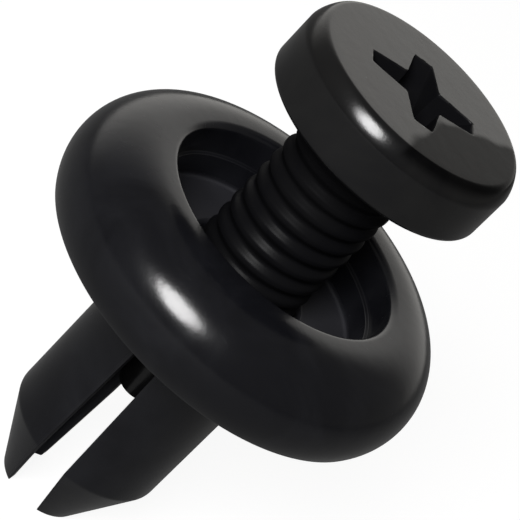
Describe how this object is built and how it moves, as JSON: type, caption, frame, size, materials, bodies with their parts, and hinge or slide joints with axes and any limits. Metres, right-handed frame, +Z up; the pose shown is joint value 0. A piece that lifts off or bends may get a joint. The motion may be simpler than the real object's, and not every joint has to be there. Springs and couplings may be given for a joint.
{
  "type": "screw rivet",
  "caption": "Black plastic screw rivet: a thick round flange with a recess, a split barrel with tapered legs, and a raised cross-recessed screw that drives in to spread it.",
  "frame": {"origin": "on the ground, on the rivet's axis, between the two leg ends that it stands on", "axes": "+Z up along the rivet's axis towards the screw head; the slot between the legs runs along Y, so it is seen through from the front, -Y"},
  "size_m": [0.02, 0.02, 0.0284],
  "materials": {
    "body_nylon": "black moulded nylon, semi-gloss",
    "screw_nylon": "black moulded nylon, semi-gloss, satin on top of the head"
  },
  "bodies": {
    "rivet_body": {"rivet_body": "body_nylon"},
    "screw": {"screw": "screw_nylon"}
  },
  "joints": [
    {"name": "screw_drive", "type": "slide", "parent": "rivet_body", "child": "screw", "axis": [0, 0, 1], "range_m": [-0.00915, 0]}
  ]
}
